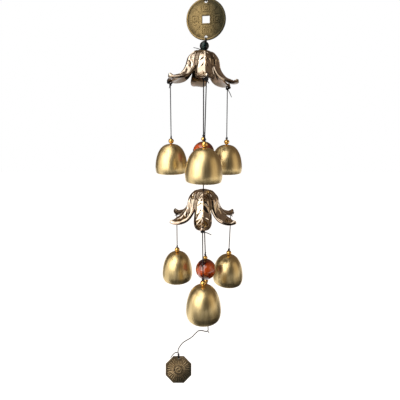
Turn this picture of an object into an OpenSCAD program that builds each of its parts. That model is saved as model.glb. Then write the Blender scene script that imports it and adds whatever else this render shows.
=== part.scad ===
// Brass bell chime: a coin on a hanging loop, two flower-shaped canopies with three bells each,
// a glass striker bead in the middle of each ring of bells, and an eight-sided plate on the tail.
// Millimetres, +Z up. The origin is the inside of the hanging loop's top, where a hook holds it.

/* [Hanging loop] */
// Inside height of the loop, from the hook down to the middle of its knot
loop_drop = 41.3; // [38:0.1:44]
// Half the loop's width at its widest
loop_half_w = 7; // [4:0.5:12]
// Thickness of the middle cord and of the hanging loop
cord_d = 1; // [0.8:0.05:1.1]
// Thickness of the thinner cord that holds the bells and the plate
thin_cord_d = 0.8; // [0.6:0.05:0.9]

/* [Coin] */
// Outside diameter of the coin
coin_d = 42; // [40:0.5:42]
// Thickness at the coin's raised rim and at the border of its square hole
coin_rim_t = 2.4; // [2:0.1:2.4]
// Thickness of the coin's field
coin_field_t = 1.8; // [1.2:0.1:1.9]
// Width of the square hole
coin_hole_w = 8; // [6:0.5:10]
// How far the coin is turned about the vertical
coin_turn = -8; // [-15:1:15]
// How far the coin's middle is to the right of the canopies' middle
coin_x = 2.5; // [0:0.5:3]

/* [Canopies] */
// Radius of the dome
dome_r = 17.4; // [16:0.1:18.5]
// Reach of the petals from the middle
petal_reach = 41.8; // [40:0.1:44]
// Widest width of a petal
petal_w = 20; // [18:0.5:21]
// Depth of the petals' tips below the dome's top
petal_drop = 32; // [30:0.5:35]
// Wall of the casting
canopy_wall = 1.8; // [1.4:0.1:2.2]
// Turn of the upper canopy about the vertical
upper_turn = 7; // [-20:1:20]
// Lean of the upper canopy, its right side down
upper_roll = 4; // [0:0.5:5]
// Turn of the lower canopy about the vertical
lower_turn = -2; // [-20:1:20]

/* [Bells] */
// Diameter of a bell's mouth
bell_d = 38; // [36:0.5:38]
// Height of a bell
bell_h = 34; // [32:0.5:36]
// Wall of a bell at its mouth
bell_wall = 1.3; // [1:0.1:1.8]
// Diameter of the small bead on a bell's crown
bell_bead_d = 6.4; // [5:0.1:7]
// Diameter of a bell's clapper
clapper_d = 10; // [8:0.5:10.5]

/* [Strikers] */
// Diameter of the glass striker beads
amber_d = 24; // [22:0.5:24.5]
// Diameter of the gold spacer beads beside them
spacer_d = 5.2; // [5:0.1:6.4]
// Diameter of the black bead under the coin
black_bead_d = 10; // [9:0.1:10]

/* [Plate] */
// Width across the plate's flats
plate_w = 32; // [30:0.5:34]
// Thickness at the plate's rim
plate_t = 2; // [1.6:0.1:2]
// How far the plate leans, its lower edge forward
plate_lean = 10; // [0:1:12]

/* [Hidden] */
$fn = 64;
cord_r = cord_d / 2;
thin_r = thin_cord_d / 2;
air = 0.05;

// heights on the middle cord, from the loop's top
knot_z = -loop_drop;
coin_top_hole_z = knot_z - 5.9;
coin_z = coin_top_hole_z - 17.8;
coin_low_hole_z = coin_z - 17.5;
coin_hole_r = 1.5;
coin_rim_w = 1.6;
coin_border = 1.3;
black_bead_z = coin_low_hole_z - 9.2;
black_bead_x = 0.75;
upper_z = -97;
upper_amber_z = -206;
lower_z = -250;
lower_amber_z = -347;
lower_amber_x = 3;

// canopy castings and the knots that carry them
canopy_hole_r = 1.6;
petal_hole_r = 1.1;
petal_hole_at = 36.5;
petal_knot_at = 38.5;
big_knot_r = 2;
hang_knot_r = 1.9;
small_knot_r = 1.3;
petal_knot_z = -petal_drop - canopy_wall - small_knot_r - air;
canopy_knot_gap = 0.7;
canopy_knot_z = -canopy_wall - canopy_knot_gap - big_knot_r;

// each bell: its petal's angle, how far its crown hangs below its knot, its sideways slant
UPPER_BELLS = [[0, 65.2, 1.5], [-120, 68.4, 0], [120, 65.4, 0]];
LOWER_BELLS = [[0, 60, -0.8], [-120, 50, 0], [120, 53, 2]];
crown_t = 1.8;
bell_power = 2.5;
mouth_tuck = 1.2;
mouth_tuck_h = 8;
bead_z = bell_bead_d / 2 + air;
inner_knot_z = -crown_t - small_knot_r - air;
clapper_z = -24;
glued_in = 1.5;

// tail and plate
striker_end_z = lower_amber_z - amber_d / 2 - spacer_d - small_knot_r;
plate_hole_r = 1.3;
plate_hole_in = 2.6;
plate_rim_w = 1.4;
plate_pocket = 0.35;
plate_boss_r = 4.4;
plate_eye_r = 2;
plate_hole_at = [-30.8, -0.4, -466.2];
plate_up = [0, sin(plate_lean), cos(plate_lean)];
plate_out = [0, -cos(plate_lean), sin(plate_lean)];
tail_rise = 4.9;
tail_knot_at = plate_hole_at + tail_rise * plate_up;
TAIL = [
    [3.6, 0, striker_end_z - small_knot_r - air], [4.6, 0, -390], [5.4, 0.5, -412], [6, 0.5, -424],
    [6.2, 0.5, -427.5], [5, 0.5, -429.3], [2.3, 0, -429], [0, 0, -428.3], [-2.7, 0, -428],
    [-6, 0, -428.5], [-8, 0, -430.2], [-9.6, 0, -432], [-14, -0.5, -436.5], [-18, -0.5, -439.3],
    [-21.5, -0.5, -441.5], [-25, 0, -444.5], [-27.5, 0, -447.5], [-29.5, 0, -450.5],
    [-31, 0.4, -454], [-31.4, 0.4, -457.5], tail_knot_at];

// ---- cords ----

CORD_SIDES = 8;

function unit(v) = v / norm(v);

// direction of the route at each of its points
function directions(route) =
    let (last = len(route) - 1)
    [for (i = [0:last]) unit(route[min(i + 1, last)] - route[max(i - 1, 0)])];

// a side direction carried along the route without twisting
function carried(along, first) =
    let (last = len(along) - 1)
    [for (i = 0, side = unit(first - along[0] * (first * along[0])); i <= last;
          i = i + 1,
          side = unit(side - along[min(i, last)] * (side * along[min(i, last)])))
        side];

module cord_tube(route, r, first_side) {
    along = directions(route);
    side = carried(along, first_side);
    rings = len(route);
    points = [for (i = [0:rings - 1], j = [0:CORD_SIDES - 1])
        let (a = 360 * j / CORD_SIDES)
        route[i] + r * (cos(a) * side[i] + sin(a) * cross(along[i], side[i]))];
    walls = [for (i = [0:rings - 2], j = [0:CORD_SIDES - 1])
        let (k = (j + 1) % CORD_SIDES)
        [i * CORD_SIDES + j, (i + 1) * CORD_SIDES + j,
         (i + 1) * CORD_SIDES + k, i * CORD_SIDES + k]];
    start_cap = [for (j = [0:CORD_SIDES - 1]) j];
    end_cap = [for (j = [CORD_SIDES - 1:-1:0]) (rings - 1) * CORD_SIDES + j];
    polyhedron(points = points, faces = concat(walls, [start_cap, end_cap]));
}

module straight_cord(from_z, to_z, r) {
    translate([0, 0, to_z]) cylinder(h = from_z - to_z, r = r);
}

module threaded_bead(r, bore_r) {
    difference() {
        sphere(r = r);
        cylinder(h = 2 * r + 2, r = bore_r, center = true);
    }
}

// half of the hanging loop, from its knot to its top; the other half mirrors it in X
function loop_half(side) =
    [for (p = [[0.6, 0.04], [1.3, 0.09], [2.8, 0.18], [4.5, 0.29], [5.9, 0.4], [6.8, 0.52],
               [7, 0.64], [6.5, 0.76], [5.3, 0.87], [3.5, 0.95], [1.8, 0.99]])
        let (x = p[0] * loop_half_w / 7, z = knot_z + p[1] * (loop_drop + cord_r))
        [coin_x * z / knot_z + side * x, 0, z]];

// a tie through a hole: up in front of the piece, over to its back, with its ends at a knot;
// out is the hole's axis, up points from the hole to the knot, gap is from the piece's middle
function tie_route(hole, out, up, seat, gap, rise, pinch) =
    let (front = [[0.0, seat], [0.6 * gap, seat], [0.92 * gap, seat + 0.45 * sign(seat)],
                  [gap, seat + 1.4 * sign(seat)], [gap, seat + 2.6 * sign(seat)],
                  [0.8 * gap, rise - 0.9 * sign(seat)], [pinch, rise]])
    concat(
        [for (i = [len(front) - 1:-1:1]) hole + front[i][0] * out + front[i][1] * up],
        [for (p = front) hole - p[0] * out + p[1] * up]);

coin_out = [sin(coin_turn), -cos(coin_turn), 0];
coin_top_hole = [coin_x, 0, coin_top_hole_z];
coin_low_hole = [coin_x, 0, coin_low_hole_z];

module hang_loop() {
    left = loop_half(-1);
    right = loop_half(1);
    route = concat(left, [[0, 0, cord_r]], [for (i = [len(right) - 1:-1:0]) right[i]]);
    color("dimgray") cord_tube(route, cord_r, [0, 1, 0]);
}

module hang_knot() {
    color("dimgray") translate([coin_x, 0, knot_z]) sphere(r = hang_knot_r);
}

module coin_tie() {
    color("dimgray")
        cord_tube(tie_route(hole = coin_top_hole, out = coin_out, up = [0, 0, 1], seat = 0.8,
                            gap = 2.05, rise = 5.6, pinch = 0.6), cord_r, [1, 0, 0]);
}

// ---- coin ----

module coin() {
    color("darkgoldenrod") translate([coin_x, 0, coin_z]) rotate([90, 0, coin_turn]) difference() {
        union() {
            cylinder(h = coin_field_t, d = coin_d, center = true);
            difference() {
                cylinder(h = coin_rim_t, d = coin_d, center = true);
                cylinder(h = 2 * coin_rim_t, d = coin_d - 2 * coin_rim_w, center = true);
            }
            cube([coin_hole_w + 2 * coin_border, coin_hole_w + 2 * coin_border, coin_rim_t], center = true);
        }
        cube([coin_hole_w, coin_hole_w, 2 * coin_rim_t], center = true);
        for (y = [coin_top_hole_z - coin_z, coin_low_hole_z - coin_z])
            translate([0, y, 0]) cylinder(h = 2 * coin_rim_t, r = coin_hole_r, center = true);
    }
}

// ---- link: the doubled cord from the coin to the upper canopy ----

function strand(x, z, out) = [x, 0, z] + out * coin_out;

module link_cord() {
    down = [strand(coin_x, coin_low_hole_z - 0.8, 0), strand(coin_x, coin_low_hole_z - 0.8, 1.23),
            strand(coin_x, coin_low_hole_z - 1.25, 1.9), strand(coin_x, coin_low_hole_z - 2.2, 2.1),
            strand(coin_x, coin_low_hole_z - 4, 2.1), strand(1.9, coin_low_hole_z - 4.7, 1.4),
            strand(1.5, black_bead_z + 4.5, 0.6), strand(0, upper_z - 0.1, 0.6),
            strand(0, upper_z + canopy_knot_z, 0.6)];
    front = [for (i = [len(down) - 1:-1:1]) down[i]];
    back = [for (p = down) let (out = (p - [p[0], 0, p[2]]) * coin_out) p - 2 * out * coin_out];
    color("dimgray") cord_tube(concat(front, back), cord_r, [1, 0, 0]);
}

module black_bead() {
    color("black") translate([black_bead_x, 0, black_bead_z]) rotate([0, 8.1, 0])
        threaded_bead(black_bead_d / 2, 1.3);
}

module canopy_knot(z) {
    color("dimgray") translate([0, 0, z + canopy_knot_z]) sphere(r = big_knot_r);
}

// ---- canopies ----

// the casting's profile: its dome, then the upper and the lower side of its petals
dome_depth = 13;
leaf_mid = 23;
// turns the seam of the round profile away from the corners where two petals meet
seam_turn = 7;
function dome_side(r, depth) = [for (a = [0:15:90]) [r * sin(a), -depth * (1 - cos(a))]];
PETAL_TOP = [
    [dome_r + 1.2, -18], [dome_r + 4.3, -23.5], [dome_r + 9, -petal_drop + 3.7],
    [dome_r + 15, -petal_drop + 1], [dome_r + 21, -petal_drop], [petal_reach + 3, -petal_drop + 0.6]];
PETAL_UNDER = [
    [petal_reach + 3, -petal_drop - canopy_wall + 0.6], [dome_r + 21, -petal_drop - canopy_wall],
    [dome_r + 14.6, -petal_drop - canopy_wall + 1], [dome_r + 8, -petal_drop - canopy_wall + 3.5],
    [dome_r + 2.8, -24.2], [dome_r - 0.6, -18.4]];

// a leaf between two arcs, cut to a round end at the petals' reach
module petal_outline() {
    half_l = petal_reach - leaf_mid + 5;
    arc_r = (half_l * half_l + petal_w * petal_w / 4) / petal_w;
    intersection() {
        translate([arc_r - petal_w / 2, -leaf_mid]) circle(r = arc_r, $fn = 200);
        translate([petal_w / 2 - arc_r, -leaf_mid]) circle(r = arc_r, $fn = 200);
        circle(r = petal_reach, $fn = 200);
    }
}

module canopy() {
    dome_inside = dome_side(dome_r - canopy_wall, dome_depth - 0.6);
    color("rosybrown") difference() {
        intersection() {
            rotate(seam_turn) rotate_extrude($fn = 128) polygon(concat(
                dome_side(dome_r, dome_depth), PETAL_TOP, PETAL_UNDER,
                [for (i = [len(dome_inside) - 1:-1:0]) dome_inside[i] - [0, canopy_wall]]));
            translate([0, 0, -petal_drop - 6]) linear_extrude(petal_drop + 8) union() {
                circle(r = dome_r + 0.8);
                for (a = [0:60:300]) rotate(a) petal_outline();
            }
        }
        cylinder(h = 12, r = canopy_hole_r, center = true);
        for (a = [0:60:300]) rotate(a) translate([0, -petal_hole_at, -petal_drop])
            cylinder(h = 12, r = petal_hole_r, center = true);
    }
}

// where a canopy puts the knot of the petal at an angle
function petal_knot(turn, roll, top_z, angle) =
    let (a = turn + angle,
         p = [petal_knot_at * sin(a), -petal_knot_at * cos(a), petal_knot_z])
    [p[0] * cos(roll) + p[2] * sin(roll), p[1], top_z - p[0] * sin(roll) + p[2] * cos(roll)];

module petal_knots(bells, turn, roll, top_z) {
    color("dimgray") for (b = bells)
        translate(petal_knot(turn, roll, top_z, b[0])) sphere(r = small_knot_r);
}

module upper_canopy() {
    translate([0, 0, upper_z]) rotate([0, upper_roll, 0]) rotate([0, 0, upper_turn]) canopy();
}

module lower_canopy() {
    translate([0, 0, lower_z]) rotate([0, 0, lower_turn]) canopy();
}

// ---- bells: each hangs from its knot, and its parts are drawn with the crown's top at zero ----

module hung(bells, i, turn, roll, top_z) {
    b = bells[i];
    translate(petal_knot(turn, roll, top_z, b[0])) rotate([0, b[2], 0]) translate([0, 0, -b[1]])
        children();
}
module upper_hung(i) { hung(UPPER_BELLS, i, upper_turn, upper_roll, upper_z) children(); }
module lower_hung(i) { hung(LOWER_BELLS, i, lower_turn, 0, lower_z) children(); }

// a superellipse dome, from the crown to the mouth, drawn in a little at the mouth
function bell_side(r, h, steps) =
    [for (i = [0:steps]) let (a = 90 * i / steps, z = -h * (1 - pow(cos(a), 2 / bell_power)),
                              tuck = max(0, 1 - (h + z) / mouth_tuck_h))
        [r * pow(sin(a), 2 / bell_power) - mouth_tuck * pow(tuck, 2), z]];

module bell() {
    outside = bell_side(bell_d / 2, bell_h, 20);
    inside = bell_side(bell_d / 2 - bell_wall, bell_h - crown_t, 18);
    color("darkkhaki") difference() {
        rotate_extrude($fn = 128) polygon(concat(
            outside, [for (i = [len(inside) - 1:-1:0]) inside[i] - [0, crown_t]]));
        cylinder(h = 12, r = thin_r + 0.2, center = true);
    }
}

module bell_bead() {
    color("gold") translate([0, 0, bead_z]) threaded_bead(bell_bead_d / 2, thin_r + 0.15);
}

module bell_cord(drop) {
    color("dimgray") {
        straight_cord(drop - small_knot_r - air, inner_knot_z, thin_r);
        translate([0, 0, inner_knot_z]) sphere(r = small_knot_r);
    }
}

module clapper() {
    color("goldenrod") translate([0, 0, clapper_z]) sphere(d = clapper_d);
}

// its lower end is glued into the clapper
module clapper_cord() {
    color("dimgray")
        straight_cord(inner_knot_z - small_knot_r - air, clapper_z + clapper_d / 2 - glued_in, thin_r);
}

// ---- strikers ----

// tilts the lower striker so that it hangs a little to the right
lower_tilt = atan2(lower_amber_x, lower_z + canopy_knot_z - lower_amber_z);
lower_length = norm([lower_amber_x, lower_z + canopy_knot_z - lower_amber_z]);
module lower_striker_place() {
    translate([0, 0, lower_z + canopy_knot_z]) rotate([0, -lower_tilt, 0]) children();
}

module upper_striker_cord() {
    color("dimgray") straight_cord(upper_z + canopy_knot_z - big_knot_r - air,
                                   lower_z + canopy_knot_z, cord_r);
}
module upper_spacer_bead() {
    color("gold") translate([0, 0, upper_amber_z + amber_d / 2 + spacer_d / 2])
        threaded_bead(spacer_d / 2, cord_r + 0.1);
}
module upper_striker() {
    color("orangered") translate([0, 0, upper_amber_z]) threaded_bead(amber_d / 2, cord_r + 0.1);
}
module upper_striker_knot() {
    color("dimgray") translate([0, 0, upper_amber_z - amber_d / 2 - small_knot_r]) sphere(r = small_knot_r);
}

lower_end = lower_length + amber_d / 2 + spacer_d + small_knot_r;
module lower_striker_cord() {
    color("dimgray") lower_striker_place() straight_cord(-big_knot_r - air, -lower_end, cord_r);
}
module lower_spacer_bead() {
    color("gold") lower_striker_place() translate([0, 0, -lower_length + amber_d / 2 + spacer_d / 2])
        threaded_bead(spacer_d / 2, cord_r + 0.1);
}
module lower_striker() {
    color("orangered") lower_striker_place() translate([0, 0, -lower_length])
        threaded_bead(amber_d / 2, cord_r + 0.1);
}
module lower_under_bead() {
    color("gold") lower_striker_place() translate([0, 0, -lower_length - amber_d / 2 - spacer_d / 2])
        threaded_bead(spacer_d / 2, cord_r + 0.1);
}
module lower_striker_knot() {
    color("dimgray") lower_striker_place() translate([0, 0, -lower_end]) sphere(r = small_knot_r);
}

// ---- tail and plate ----

module tail_cord() {
    color("dimgray") cord_tube(TAIL, thin_r, [0, 1, 0]);
}
module tail_knot() {
    color("dimgray") translate(tail_knot_at) sphere(r = small_knot_r);
}
module plate_tie() {
    color("dimgray")
        cord_tube(tie_route(hole = plate_hole_at, out = plate_out, up = plate_up, seat = 0.7,
                            gap = 1.7, rise = 4.6, pinch = 0.5), thin_r, [1, 0, 0]);
}

module octagon(flat_r, h) {
    rotate(22.5) cylinder(h = h, r = flat_r / cos(22.5), center = true, $fn = 8);
}

module plate() {
    flat_r = plate_w / 2;
    mid_below = flat_r - plate_hole_in;
    color("darkgoldenrod") translate(plate_hole_at) rotate([90 - plate_lean, 0, 0])
        translate([0, -mid_below, 0]) difference() {
            octagon(flat_r, plate_t);
            for (s = [-1, 1]) translate([0, 0, s * plate_t / 2]) difference() {
                octagon(flat_r - plate_rim_w, 2 * plate_pocket);
                cylinder(h = plate_t, r = plate_boss_r, center = true);
                translate([0, mid_below, 0]) cylinder(h = plate_t, r = plate_eye_r, center = true);
            }
            translate([0, mid_below, 0]) cylinder(h = 2 * plate_t, r = plate_hole_r, center = true);
        }
}

// ---- nodes ----

hang_loop();
hang_knot();
coin_tie();
coin();
link_cord();
black_bead();
canopy_knot(upper_z);  // upper_canopy_knot
upper_canopy();
petal_knots(UPPER_BELLS, upper_turn, upper_roll, upper_z);  // upper_petal_knots
upper_hung(0) bell();  // upper_front_bell
upper_hung(0) bell_bead();  // upper_front_bead
upper_hung(0) bell_cord(UPPER_BELLS[0][1]);  // upper_front_cord
upper_hung(0) clapper();  // upper_front_clapper
upper_hung(0) clapper_cord();  // upper_front_clapper_cord
upper_hung(1) bell();  // upper_left_bell
upper_hung(1) bell_bead();  // upper_left_bead
upper_hung(1) bell_cord(UPPER_BELLS[1][1]);  // upper_left_cord
upper_hung(1) clapper();  // upper_left_clapper
upper_hung(1) clapper_cord();  // upper_left_clapper_cord
upper_hung(2) bell();  // upper_right_bell
upper_hung(2) bell_bead();  // upper_right_bead
upper_hung(2) bell_cord(UPPER_BELLS[2][1]);  // upper_right_cord
upper_hung(2) clapper();  // upper_right_clapper
upper_hung(2) clapper_cord();  // upper_right_clapper_cord
upper_striker_cord();
upper_spacer_bead();
upper_striker();
upper_striker_knot();
canopy_knot(lower_z);  // lower_canopy_knot
lower_canopy();
petal_knots(LOWER_BELLS, lower_turn, 0, lower_z);  // lower_petal_knots
lower_hung(0) bell();  // lower_front_bell
lower_hung(0) bell_bead();  // lower_front_bead
lower_hung(0) bell_cord(LOWER_BELLS[0][1]);  // lower_front_cord
lower_hung(0) clapper();  // lower_front_clapper
lower_hung(0) clapper_cord();  // lower_front_clapper_cord
lower_hung(1) bell();  // lower_left_bell
lower_hung(1) bell_bead();  // lower_left_bead
lower_hung(1) bell_cord(LOWER_BELLS[1][1]);  // lower_left_cord
lower_hung(1) clapper();  // lower_left_clapper
lower_hung(1) clapper_cord();  // lower_left_clapper_cord
lower_hung(2) bell();  // lower_right_bell
lower_hung(2) bell_bead();  // lower_right_bead
lower_hung(2) bell_cord(LOWER_BELLS[2][1]);  // lower_right_cord
lower_hung(2) clapper();  // lower_right_clapper
lower_hung(2) clapper_cord();  // lower_right_clapper_cord
lower_striker_cord();
lower_spacer_bead();
lower_striker();
lower_under_bead();
lower_striker_knot();
tail_cord();
tail_knot();
plate_tie();
plate();
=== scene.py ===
import math

import bmesh
import bpy
import numpy as np
from mathutils import Matrix, Vector, noise


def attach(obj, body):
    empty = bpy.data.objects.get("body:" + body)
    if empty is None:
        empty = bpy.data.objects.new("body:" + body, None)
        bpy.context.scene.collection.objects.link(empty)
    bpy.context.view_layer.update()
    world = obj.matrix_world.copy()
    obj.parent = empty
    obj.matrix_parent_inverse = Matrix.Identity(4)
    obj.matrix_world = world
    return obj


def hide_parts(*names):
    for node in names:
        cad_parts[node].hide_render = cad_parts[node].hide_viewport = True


# Brass bell chime: coin and hanging loop, two flower-shaped canopies with three bells each,
# a glass striker bead in each ring of bells, and an eight-sided plate on the tail cord.
# The chime's lengths are in millimetres until a mesh is made, and MM turns them into metres.
# The camera and the studio are set out in metres.

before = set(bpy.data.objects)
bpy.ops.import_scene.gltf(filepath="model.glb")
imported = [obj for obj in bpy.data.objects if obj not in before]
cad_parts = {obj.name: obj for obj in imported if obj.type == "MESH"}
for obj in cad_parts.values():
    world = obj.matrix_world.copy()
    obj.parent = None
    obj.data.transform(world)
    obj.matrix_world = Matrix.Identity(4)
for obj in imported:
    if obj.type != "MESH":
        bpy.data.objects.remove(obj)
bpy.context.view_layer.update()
MM = 0.001

# ---- the maker's measures, the same as in the part's source ----

CORD_D = 1.0
THIN_D = 0.8
LOOP_DROP = 41.3
COIN_X = 2.5
COIN_TURN = math.radians(-8)
COIN_TOP_HOLE_Z = -LOOP_DROP - 5.9
COIN_Z = COIN_TOP_HOLE_Z - 17.8
COIN_LOW_HOLE_Z = COIN_Z - 17.5
COIN_OUT = Vector((math.sin(COIN_TURN), -math.cos(COIN_TURN), 0))
COIN_R = 21.0
COIN_HOLE_W = 8.0
COIN_HOLE_R = 1.5
FIELD_T = 1.8
RIM_T = 2.4
BLACK_BEAD = Vector((0.75, 0, -91.7))
BLACK_BEAD_TILT = math.radians(8.1)
BLACK_BEAD_R = 5.0
BLACK_BEAD_BORE_R = 1.3

CANOPY_WALL = 1.8
DOME_R = 17.4
DOME_DEPTH = 13.0
PETAL_REACH = 41.8
PETAL_W = 20.0
PETAL_DROP = 32.0
LEAF_MID = 23.0
PETAL_HOLE_AT = 36.5
PETAL_HOLE_R = 1.1
PETAL_KNOT_AT = 38.5
CANOPY_HOLE_R = 1.6
SMALL_KNOT_R = 1.3
BIG_KNOT_R = 2.0
AIR = 0.05
PETAL_KNOT_Z = -PETAL_DROP - CANOPY_WALL - SMALL_KNOT_R - AIR
CANOPY_KNOT_Z = -CANOPY_WALL - 0.7 - BIG_KNOT_R

BELL_R = 19.0
BELL_H = 34.0
BELL_WALL = 1.3
BELL_POWER = 2.5
MOUTH_TUCK = 1.2
MOUTH_TUCK_H = 8.0
CROWN_T = 1.8
BELL_BEAD_R = 3.2
CLAPPER_Z = -24.0
CLAPPER_R = 5.0
GLUED_IN = 1.5
INNER_KNOT_Z = -CROWN_T - SMALL_KNOT_R - AIR

AMBER_R = 12.0
SPACER_R = 2.6
UPPER_AMBER_Z = -206.0
LOWER_AMBER = Vector((3, 0, -347))

# each tier: canopy top, turn, roll, and for each bell its petal's angle, its drop and its slant
TIERS = {
    "upper": {"top": -97, "turn": 7, "roll": 4,
              "bells": {"front": (0, 65.2, 1.5), "left": (-120, 68.4, 0), "right": (120, 65.4, 0)}},
    "lower": {"top": -250, "turn": -2, "roll": 0,
              "bells": {"front": (0, 60, -0.8), "left": (-120, 50, 0), "right": (120, 53, 2)}},
}
PLATE_HOLE = Vector((-30.8, -0.4, -466.2))
PLATE_LEAN = math.radians(10)
PLATE_UP = Vector((0, math.sin(PLATE_LEAN), math.cos(PLATE_LEAN)))
PLATE_OUT = Vector((0, -math.cos(PLATE_LEAN), math.sin(PLATE_LEAN)))
PLATE_FLAT_R = 16.0
PLATE_T = 2.0
PLATE_HOLE_R = 1.3
PLATE_HOLE_IN = 2.6
TAIL_KNOT = PLATE_HOLE + 4.9 * PLATE_UP


def linked(name, data):
    """A new object in the scene."""
    obj = bpy.data.objects.new(name, data)
    bpy.context.collection.objects.link(obj)
    return obj


# ---- camera: above the chime's middle, and dipped a few degrees ----

SENSOR_W = 36
LENS = 25.65
SHIFT_Y = -0.096
CAMERA_AT = (-0.0039, -0.320, -0.172)
CAMERA_DIP = 8


def add_camera():
    data = bpy.data.cameras.new("camera")
    data.sensor_width = SENSOR_W
    data.lens = LENS
    data.shift_y = SHIFT_Y
    camera = linked("camera", data)
    camera.location = CAMERA_AT
    camera.rotation_euler = (math.radians(90 - CAMERA_DIP), 0, 0)
    bpy.context.scene.camera = camera


add_camera()


# ---- shader expressions ----

class Field:
    """A socket's value over a surface, which takes part in Python arithmetic."""

    def __init__(self, finish, socket):
        self.finish = finish
        self.socket = socket

    def _math(self, operation, other, turned=False):
        first, second = (other, self) if turned else (self, other)
        return self.finish.node("ShaderNodeMath", {"operation": operation}, {0: first, 1: second})

    def __add__(self, other):
        return self._math("ADD", other)

    def __sub__(self, other):
        return self._math("SUBTRACT", other)

    def __mul__(self, other):
        return self._math("MULTIPLY", other)

    __radd__ = __add__
    __rmul__ = __mul__

    def __rsub__(self, other):
        return self._math("SUBTRACT", other, turned=True)

    def kept(self):
        """The value kept between 0 and 1."""
        return self.finish.node("ShaderNodeClamp", {}, {"Value": self})

    def step(self, low, high):
        """0 below low, 1 above high, and a smooth rise between them."""
        return self.finish.node("ShaderNodeMapRange", {"interpolation_type": "SMOOTHSTEP"},
                                {"Value": self, "From Min": low, "From Max": high})


class Finish:
    """One material: a Principled shader whose sockets take numbers, colours or Fields."""

    def __init__(self, name, **sockets):
        self.material = bpy.data.materials.new(name)
        self.material.use_nodes = True
        self.tree = self.material.node_tree
        self.tree.nodes.clear()
        self.shader = self.tree.nodes.new("ShaderNodeBsdfPrincipled")
        output = self.tree.nodes.new("ShaderNodeOutputMaterial")
        self.tree.links.new(self.shader.outputs[0], output.inputs["Surface"])
        self.set(**sockets)

    def set(self, **sockets):
        for name, value in sockets.items():
            self._feed(self.shader, name.replace("_", " "), value)

    def _feed(self, node, key, value):
        socket = node.inputs[key]
        if isinstance(value, Field):
            self.tree.links.new(value.socket, socket)
        elif isinstance(value, tuple) and len(value) == 3 and socket.type == "RGBA":
            socket.default_value = (*value, 1)
        else:
            socket.default_value = value

    def node(self, kind, settings, inputs, out=0):
        node = self.tree.nodes.new(kind)
        for name, value in settings.items():
            setattr(node, name, value)
        for key, value in inputs.items():
            self._feed(node, key, value)
        return Field(self, node.outputs[out])

    def place(self):
        return self.node("ShaderNodeTexCoord", {}, {}, out="Object")

    def attribute(self, name, out="Fac"):
        return self.node("ShaderNodeAttribute", {"attribute_name": name}, {}, out=out)

    def scaled(self, vector, factors):
        return self.node("ShaderNodeVectorMath", {"operation": "MULTIPLY"}, {0: vector, 1: factors})

    def grain(self, vector, scale, detail=3.0, roughness=0.55):
        return self.node("ShaderNodeTexNoise", {},
                         {"Vector": vector, "Scale": scale, "Detail": detail, "Roughness": roughness})

    def blend(self, factor, first, second):
        return self.node("ShaderNodeMix", {"data_type": "RGBA"}, {0: factor, 6: first, 7: second}, out=2)

    def bump(self, height, depth, strength, under=None):
        inputs = {"Height": height, "Distance": depth * MM, "Strength": strength}
        if under is not None:
            inputs["Normal"] = under
        return self.node("ShaderNodeBump", {}, inputs)


def waxed_cord(name):
    f = Finish(name, Specular_IOR_Level=0.25)
    place = f.place()
    fibre = f.grain(place, 2600, detail=4)
    wax = f.grain(place, 240)
    f.set(Base_Color=f.blend(wax.step(0.35, 0.7), (0.008, 0.008, 0.009), (0.032, 0.030, 0.031)),
          Roughness=0.55 + 0.3 * fibre, Normal=f.bump(fibre, 0.12, 0.8))
    return f


def aged_bronze(name, high, low, metallic):
    """Cast bronze: dark in its recesses, rubbed bright where it stands proud, with painted shade on the side
    away from the key light.
    """
    f = Finish(name, Metallic=metallic)
    place = f.place()
    worn = f.attribute("worn")
    mottle = f.grain(place, 260, detail=5)
    pits = f.grain(place, 1500, detail=4)
    rays = f.grain(f.scaled(f.attribute("around", out="Vector"), (26, 26, 1.2)), 1.0, detail=4)
    rubbed = (worn * 0.8 + mottle * 0.75 - 0.28 + (rays - 0.5) * 0.5).kept()
    tint = f.blend(rubbed, low, high)
    tint = f.blend(mottle.step(0.55, 0.8) * 0.35, tint, (0.10, 0.105, 0.05))
    # painted shade: the side away from the key light is darkened, broken up by the mottle
    tint = f.blend(f.attribute("painted_side_shade") * (0.62 + 0.5 * mottle), tint, (0.017, 0.018, 0.010))
    skin = f.bump(pits, 0.10, 0.7)
    f.set(Base_Color=tint, Roughness=(0.50 - 0.20 * rubbed + 0.18 * pits).kept(),
          Normal=f.bump(rays, 0.10, 0.6, under=skin))
    return f


def canopy_plate(name):
    """Polished, slightly warm plating over a hand-finished casting, with painted shade on its undersides."""
    f = Finish(name, Metallic=1.0)
    place = f.place()
    worn = f.attribute("worn")
    ripple = f.grain(place, 105, detail=2)
    cloud = f.grain(place, 260, detail=3)
    pits = f.grain(place, 1700, detail=3)
    # bright where the metal is proud and rubbed, dark in its recesses, and dark on the undersides, where the
    # layer holds painted shade
    proud = (worn * 0.9 + cloud * 0.5 - 0.15).kept()
    tint = f.blend(proud, (0.12, 0.087, 0.058), (0.66, 0.56, 0.45))
    tint = f.blend(ripple.step(0.5, 0.75) * 0.4, tint, (0.44, 0.28, 0.20))
    skin = f.bump(ripple, 0.35, 0.38)
    f.set(Base_Color=tint, Roughness=(0.07 + 0.16 * cloud.step(0.5, 0.8) + 0.08 * (1 - proud)).kept(),
          Normal=f.bump(pits, 0.04, 0.2, under=skin))
    return f


def satin_brass(name, tint, dark, rough):
    """Brass rubbed along its length: fine streaks run from the crown to the mouth."""
    f = Finish(name, Metallic=1.0)
    around = f.attribute("around", out="Vector")
    fine = f.grain(f.scaled(around, (70, 70, 1.6)), 1.0, detail=5, roughness=0.65)
    broad = f.grain(f.scaled(around, (7, 7, 1.1)), 1.0, detail=3)
    stain = f.grain(f.place(), 90, detail=4)
    tone = (fine * 1.5 + broad * 0.7 - 0.6).kept()
    shade = f.blend(tone, dark, tint)
    shade = f.blend(stain.step(0.56, 0.8) * 0.3, shade, (dark[0] * 0.7, dark[1] * 0.6, dark[2] * 0.5))
    f.set(Base_Color=shade, Roughness=(rough + 0.16 * (fine - 0.5) + 0.1 * stain).kept(),
          Normal=f.bump(fine, 0.045, 0.55))
    return f


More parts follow.
